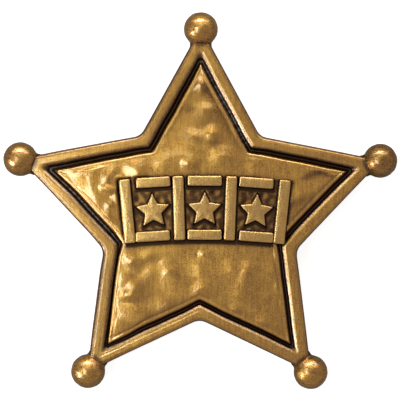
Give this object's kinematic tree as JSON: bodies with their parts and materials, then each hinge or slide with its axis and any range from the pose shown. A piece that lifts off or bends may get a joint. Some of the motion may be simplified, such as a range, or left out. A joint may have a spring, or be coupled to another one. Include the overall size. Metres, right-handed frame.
{
  "type": "sheriff star badge",
  "caption": "Cast five-pointed star badge with ball tips, grooved border, hammered field, an arched row of raised tiles and small stars, and a brooch pin on its back.",
  "frame": {"origin": "on the surface that the badge lies on, face up, under the middle of its outline box", "axes": "+Z points out of the badge's face, +Y to its top point, +X to the right as the face is read"},
  "size_m": [0.07, 0.0668, 0.0072],
  "materials": {
    "antique_brass": "cast brass with a fine sandy grain, dark brown patina in the groove and round the relief, rubbed bright on the edges",
    "pin_brass": "drawn and pressed brass, satin, lightly darkened"
  },
  "bodies": {
    "root": {"star_body": "antique_brass", "brooch_pin": "pin_brass"}
  },
  "joints": []
}
